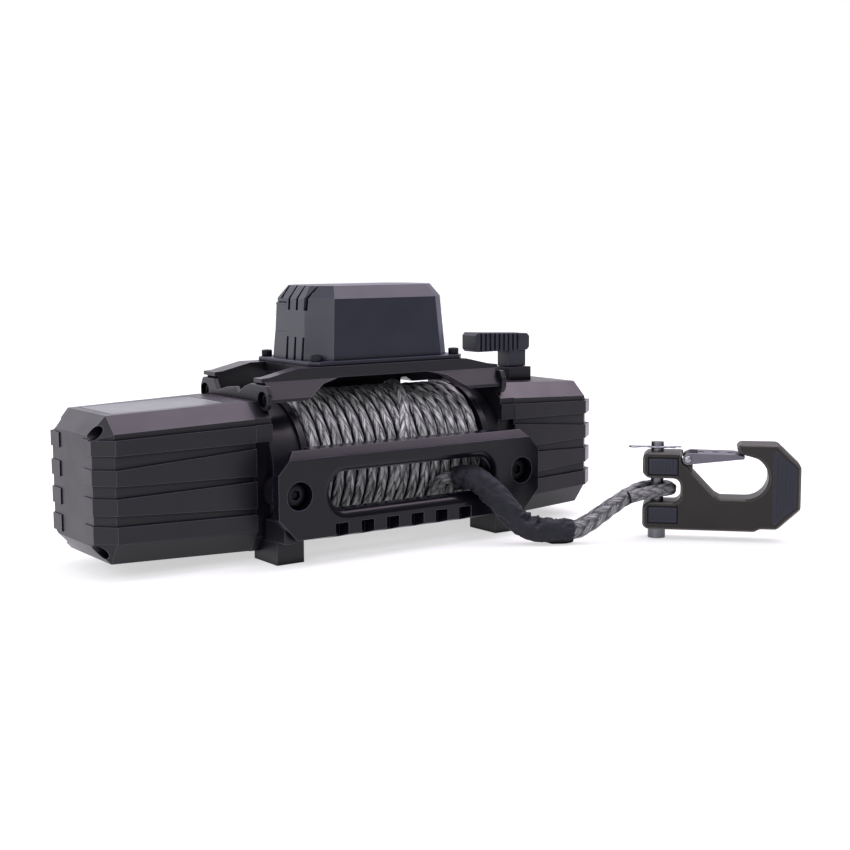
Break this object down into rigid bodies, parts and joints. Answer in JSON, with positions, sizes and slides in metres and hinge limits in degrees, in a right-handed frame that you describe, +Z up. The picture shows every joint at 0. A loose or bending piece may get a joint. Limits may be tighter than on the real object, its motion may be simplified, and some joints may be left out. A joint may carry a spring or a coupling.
{
  "type": "electric recovery winch",
  "caption": "Electric recovery winch with rope drum, planetary gearbox, control box, slotted fairlead, clutch lever and a gated hook on synthetic rope.",
  "frame": {"origin": "centre of the four foot bolts, on the plane of the feet", "axes": "+X along the drum from the motor to the gearbox, -Y towards the fairlead, +Z up"},
  "size_m": [0.6334, 0.3788, 0.248],
  "materials": {
    "cast_black": "satin black powder coat on cast aluminium",
    "box_plastic": "fine textured black plastic",
    "steel": "zinc plated or ground steel",
    "bronze": "machined bronze",
    "copper": "enamelled copper winding",
    "rope": "grey braided synthetic rope",
    "sleeve": "black woven sleeve",
    "hook_anodised": "dark grey satin hook",
    "hook_rubber": "blue-black rubber",
    "gate_metal": "bead blasted grey"
  },
  "bodies": {
    "chassis": {"motor_support": "cast_black", "gearbox_support": "cast_black", "drum_bushings": "bronze", "tie_rods": "steel", "motor_cover": "cast_black", "motor_cover_screws": "steel", "motor_can": "cast_black", "field_coils": "copper", "end_bell": "cast_black", "brush_ring": "bronze", "gearbox_cover": "cast_black", "gearbox_cover_screws": "steel", "ring_gear": "steel", "gear_cartridge": "steel", "bridge": "cast_black", "bridge_bolts": "steel", "box_plate": "box_plastic", "box_cover": "box_plastic", "box_bolts": "steel", "contactor": "box_plastic", "contactor_studs": "bronze", "remote_socket": "box_plastic", "flap_pin": "steel", "fairlead": "cast_black", "fairlead_bolts": "steel", "clutch_block": "cast_black", "rope_lead": "rope", "rope_sleeve": "sleeve", "rope_tail": "rope", "rope_eye": "rope"},
    "drum": {"drum": "steel", "rope_core": "rope", "rope_outer_layer": "rope", "rope_lower_turns": "rope", "rope_anchor_screw": "steel", "planet_carrier": "steel"},
    "planet_1": {"planet_gear_1": "steel"},
    "planet_2": {"planet_gear_2": "steel"},
    "planet_3": {"planet_gear_3": "steel"},
    "sun": {"sun_gear": "steel"},
    "rotor": {"armature": "steel", "commutator": "bronze", "drive_shaft": "steel"},
    "clutch": {"clutch_lever": "cast_black"},
    "flap": {"socket_flap": "box_plastic"},
    "hook": {"hook_body": "hook_anodised", "hook_pin": "steel", "hook_clip": "steel", "hook_grips": "hook_rubber", "gate_pin": "steel", "gate_spring": "steel"},
    "gate": {"hook_gate": "gate_metal"}
  },
  "joints": [
    {"name": "drum_spin", "type": "hinge", "parent": "chassis", "child": "drum", "pos_m": [0, 0, 0.078], "axis": [1, 0, 0], "continuous": true},
    {"name": "planet_1_spin", "type": "hinge", "parent": "drum", "child": "planet_1", "pos_m": [0.172, 0, 0.051], "axis": [1, 0, 0], "continuous": true},
    {"name": "planet_2_spin", "type": "hinge", "parent": "drum", "child": "planet_2", "pos_m": [0.172, 0.02338, 0.0915], "axis": [1, 0, 0], "continuous": true},
    {"name": "planet_3_spin", "type": "hinge", "parent": "drum", "child": "planet_3", "pos_m": [0.172, -0.02338, 0.0915], "axis": [1, 0, 0], "continuous": true},
    {"name": "sun_spin", "type": "hinge", "parent": "chassis", "child": "sun", "pos_m": [0.172, 0, 0.078], "axis": [1, 0, 0], "continuous": true},
    {"name": "rotor_spin", "type": "hinge", "parent": "chassis", "child": "rotor", "pos_m": [-0.2, 0, 0.078], "axis": [1, 0, 0], "continuous": true},
    {"name": "clutch_turn", "type": "hinge", "parent": "chassis", "child": "clutch", "pos_m": [0.1965, 0, 0.16], "axis": [0, 0, 1], "range_deg": [0, 90]},
    {"name": "flap_turn", "type": "hinge", "parent": "chassis", "child": "flap", "pos_m": [-0.0671, 0.025, 0.23], "axis": [0, 1, 0], "range_deg": [0, 100]},
    {"name": "hook_swing", "type": "hinge", "parent": "chassis", "child": "hook", "pos_m": [0.228, -0.1884, 0.0485], "axis": [0, 0, 1], "range_deg": [-40, 45]},
    {"name": "gate_swing", "type": "hinge", "parent": "hook", "child": "gate", "pos_m": [0.24835, -0.20948, 0.0795], "axis": [0.7193, 0.6947, 0], "range_deg": [0, 32], "stiffness_Nm_per_rad": 0.1, "springref_deg": -34.38}
  ],
  "couplings": [
    {"joint": "planet_1_spin", "follows": "drum_spin", "ratio": -2.8},
    {"joint": "planet_2_spin", "follows": "drum_spin", "ratio": -2.8},
    {"joint": "planet_3_spin", "follows": "drum_spin", "ratio": -2.8},
    {"joint": "sun_spin", "follows": "drum_spin", "ratio": 4.5}
  ]
}
